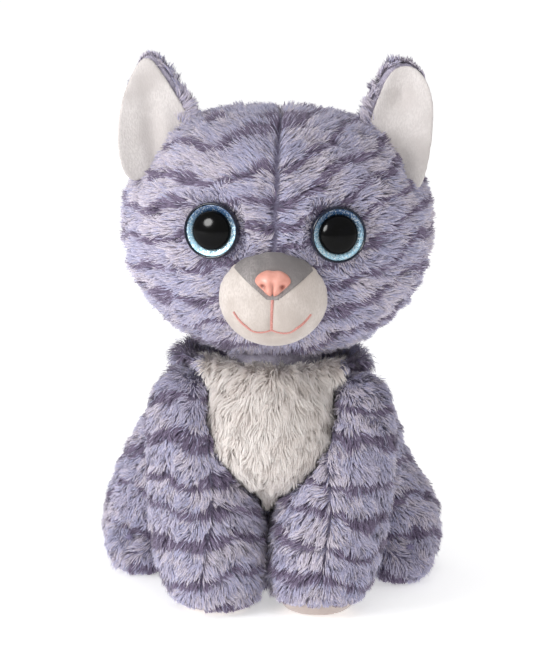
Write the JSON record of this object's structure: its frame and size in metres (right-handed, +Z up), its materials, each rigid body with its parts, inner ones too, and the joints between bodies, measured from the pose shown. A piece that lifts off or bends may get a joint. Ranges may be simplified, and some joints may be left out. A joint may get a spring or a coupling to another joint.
{
  "type": "plush cat",
  "caption": "Seated stuffed toy cat with long striped pile, glitter eyes, cream muzzle and chest, and limbs, ears and head that flex at their seams.",
  "frame": {"origin": "centre of the flat seat panel, on the surface the toy sits on", "axes": "+Z up along the toy's height, -Y the way it faces, +X its own left side"},
  "size_m": [0.1608, 0.1661, 0.25],
  "materials": {
    "lavender_fur": "long pile, striped",
    "cream_fur": "long pile",
    "cream_velboa": "short pile",
    "grey_velboa": "short pile",
    "stuffing": "polyester fibre",
    "pink_vinyl": "satin moulded",
    "pink_thread": "satin stitch",
    "lavender_thread": "thread",
    "black_plastic": "gloss",
    "pupil_plastic": "gloss dome",
    "blue_glitter": "glitter under clear coat",
    "washer_plastic": "matte",
    "pouch_cloth": "plain weave",
    "label_satin": "satin, blank"
  },
  "bodies": {
    "torso": {"bean_pouch": "pouch_cloth", "body_stuffing": "stuffing", "care_label": "label_satin", "chest_patch": "cream_fur", "left_side_cover": "lavender_fur", "right_side_cover": "lavender_fur", "seat_panel": "lavender_fur"},
    "neck": {"neck_stuffing": "stuffing"},
    "head": {"head_back_cover": "lavender_fur", "head_stuffing": "stuffing", "left_eye_base": "black_plastic", "left_eye_glitter_ring": "blue_glitter", "left_eye_pupil": "pupil_plastic", "left_eye_washer": "washer_plastic", "left_face_cover": "lavender_fur", "mouth_stitching": "pink_thread", "muzzle_bridge": "grey_velboa", "muzzle_cover": "cream_velboa", "muzzle_stuffing": "stuffing", "nose": "pink_vinyl", "nose_washer": "washer_plastic", "right_eye_base": "black_plastic", "right_eye_glitter_ring": "blue_glitter", "right_eye_pupil": "pupil_plastic", "right_eye_washer": "washer_plastic", "right_face_cover": "lavender_fur"},
    "left_ear": {"left_ear_back": "lavender_fur", "left_ear_lining": "cream_velboa"},
    "right_ear": {"right_ear_back": "lavender_fur", "right_ear_lining": "cream_velboa"},
    "left_front_leg": {"left_front_leg_cover": "lavender_fur", "left_front_leg_stuffing": "stuffing", "left_front_sole": "cream_velboa"},
    "right_front_leg": {"right_front_leg_cover": "lavender_fur", "right_front_leg_stuffing": "stuffing", "right_front_sole": "cream_velboa"},
    "left_hind_leg": {"left_hind_leg_cover": "lavender_fur", "left_hind_leg_stuffing": "stuffing", "left_toe_tack": "lavender_thread"},
    "right_hind_leg": {"right_hind_leg_cover": "lavender_fur", "right_hind_leg_stuffing": "stuffing", "right_toe_tack": "lavender_thread"},
    "tail": {"tail_cover": "lavender_fur", "tail_stuffing": "stuffing"}
  },
  "joints": [
    {"name": "neck_turn", "type": "hinge", "parent": "torso", "child": "neck", "pos_m": [0, -0.016, 0.112], "axis": [0, 0, 1], "range_deg": [-20, 20], "stiffness_Nm_per_rad": 0.6},
    {"name": "head_nod", "type": "hinge", "parent": "neck", "child": "head", "pos_m": [0, -0.016, 0.112], "axis": [1, 0, 0], "range_deg": [-10, 8], "stiffness_Nm_per_rad": 3},
    {"name": "left_ear_fold", "type": "hinge", "parent": "head", "child": "left_ear", "pos_m": [0.051, -0.016, 0.206], "axis": [-0.5839, -0.1456, 0.7986], "range_deg": [-18, 20], "stiffness_Nm_per_rad": 0.05},
    {"name": "left_front_leg_swing", "type": "hinge", "parent": "torso", "child": "left_front_leg", "pos_m": [0.035, -0.034, 0.086], "axis": [-1, 0, 0], "range_deg": [0, 35], "stiffness_Nm_per_rad": 0.5},
    {"name": "left_hind_leg_splay", "type": "hinge", "parent": "torso", "child": "left_hind_leg", "pos_m": [0.037, 0.05, 0.03], "axis": [0, 0, 1], "range_deg": [0, 20], "stiffness_Nm_per_rad": 0.5},
    {"name": "right_ear_fold", "type": "hinge", "parent": "head", "child": "right_ear", "pos_m": [-0.051, -0.016, 0.206], "axis": [0.5839, -0.1456, 0.7986], "range_deg": [-20, 18], "stiffness_Nm_per_rad": 0.05},
    {"name": "right_front_leg_swing", "type": "hinge", "parent": "torso", "child": "right_front_leg", "pos_m": [-0.035, -0.034, 0.086], "axis": [-1, 0, 0], "range_deg": [0, 35], "stiffness_Nm_per_rad": 0.5},
    {"name": "right_hind_leg_splay", "type": "hinge", "parent": "torso", "child": "right_hind_leg", "pos_m": [-0.037, 0.05, 0.03], "axis": [0, 0, -1], "range_deg": [0, 20], "stiffness_Nm_per_rad": 0.5},
    {"name": "tail_swing", "type": "hinge", "parent": "torso", "child": "tail", "pos_m": [0, 0.046, 0.017], "axis": [0, 0, 1], "range_deg": [-30, 30], "stiffness_Nm_per_rad": 0.2}
  ]
}
